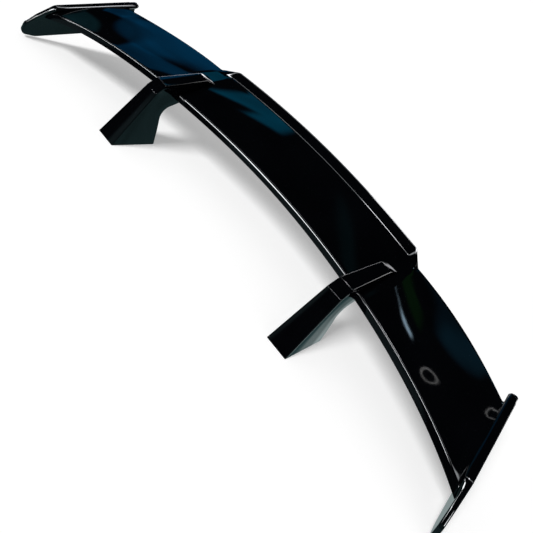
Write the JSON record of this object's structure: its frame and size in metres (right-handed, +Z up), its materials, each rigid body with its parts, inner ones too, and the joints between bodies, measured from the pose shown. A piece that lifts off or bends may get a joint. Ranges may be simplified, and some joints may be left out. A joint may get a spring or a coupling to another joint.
{
  "type": "racing rear wing",
  "caption": "Bowed gloss-black rear wing: hollow blade with a raised, kicked-up centre, two uprights hooked over its leading edge, and toed drooping end plates.",
  "frame": {"origin": "centre of the four boot-lid bolt holes, midway between the two feet, on the plane of the feet's undersides", "axes": "+X along the span to the right-hand tip, +Y rearward towards the kicked-up trailing edge, +Z up"},
  "size_m": [1.3726, 0.3383, 0.1974],
  "materials": {
    "gloss_shell": "piano-black moulded plastic, high gloss",
    "inner_plastic": "as moulded",
    "base_steel": "black electrocoat",
    "gasket_rubber": "closed-cell foam skin",
    "insert_brass": "turned and knurled",
    "screw_steel": "zinc plated",
    "sleeve_aluminium": "cut tube"
  },
  "bodies": {
    "root": {"blade_upper_shell": "gloss_shell", "blade_lower_shell": "gloss_shell", "left_end_plate": "gloss_shell", "right_end_plate": "gloss_shell", "left_upright_body": "gloss_shell", "right_upright_body": "gloss_shell", "left_upright_cover": "gloss_shell", "right_upright_cover": "gloss_shell", "centre_rib": "inner_plastic", "left_inner_rib": "inner_plastic", "right_inner_rib": "inner_plastic", "left_tip_rib": "inner_plastic", "right_tip_rib": "inner_plastic", "left_base_plate": "base_steel", "right_base_plate": "base_steel", "left_foot_gasket": "gasket_rubber", "right_foot_gasket": "gasket_rubber", "base_inserts": "insert_brass", "end_plate_inserts": "insert_brass", "strap_inserts": "insert_brass", "end_plate_screws": "screw_steel", "strap_screws": "screw_steel", "shell_screws": "screw_steel", "base_plate_screws": "screw_steel", "blade_sleeves": "sleeve_aluminium"}
  },
  "joints": []
}
